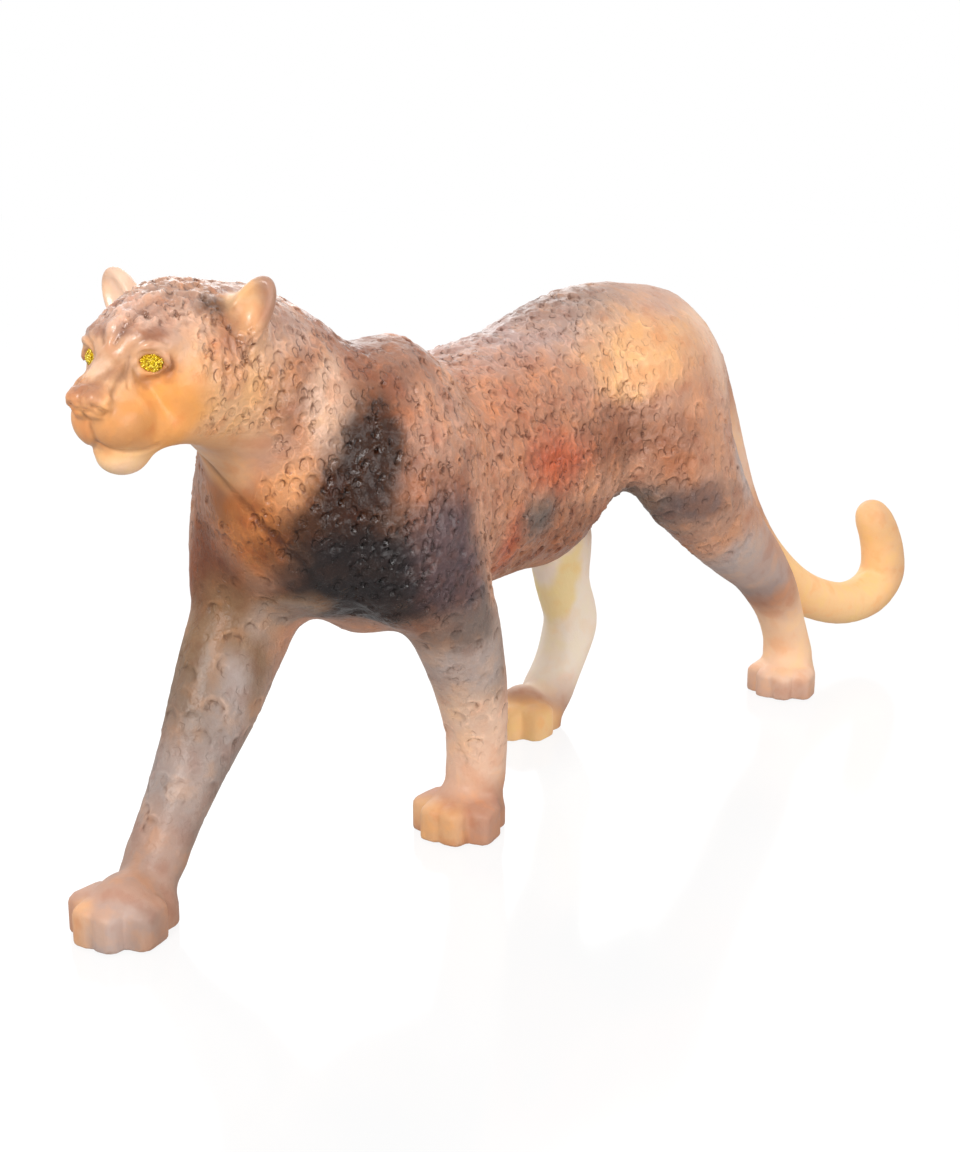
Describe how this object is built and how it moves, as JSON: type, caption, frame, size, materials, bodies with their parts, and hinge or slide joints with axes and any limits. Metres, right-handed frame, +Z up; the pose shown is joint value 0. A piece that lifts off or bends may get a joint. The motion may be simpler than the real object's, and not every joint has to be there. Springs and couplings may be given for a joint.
{
  "type": "glass panther sculpture",
  "caption": "Walking panther cast in satin glass, head turned to its left, long tail curled up at the tip, dotted coat carved in relief, grained gold eyes.",
  "frame": {"origin": "on the floor plane under the middle of the outline", "axes": "+Z up, the head points to -X, the animal's left flank to -Y"},
  "size_m": [0.59, 0.1148, 0.2493],
  "materials": {
    "glass": "satin cast glass, amber, pink, grey and brown tints run together",
    "gold_grain": "granular yellow and gold glass"
  },
  "bodies": {
    "root": {"panther": "glass", "left_eye": "gold_grain", "right_eye": "gold_grain"}
  },
  "joints": []
}
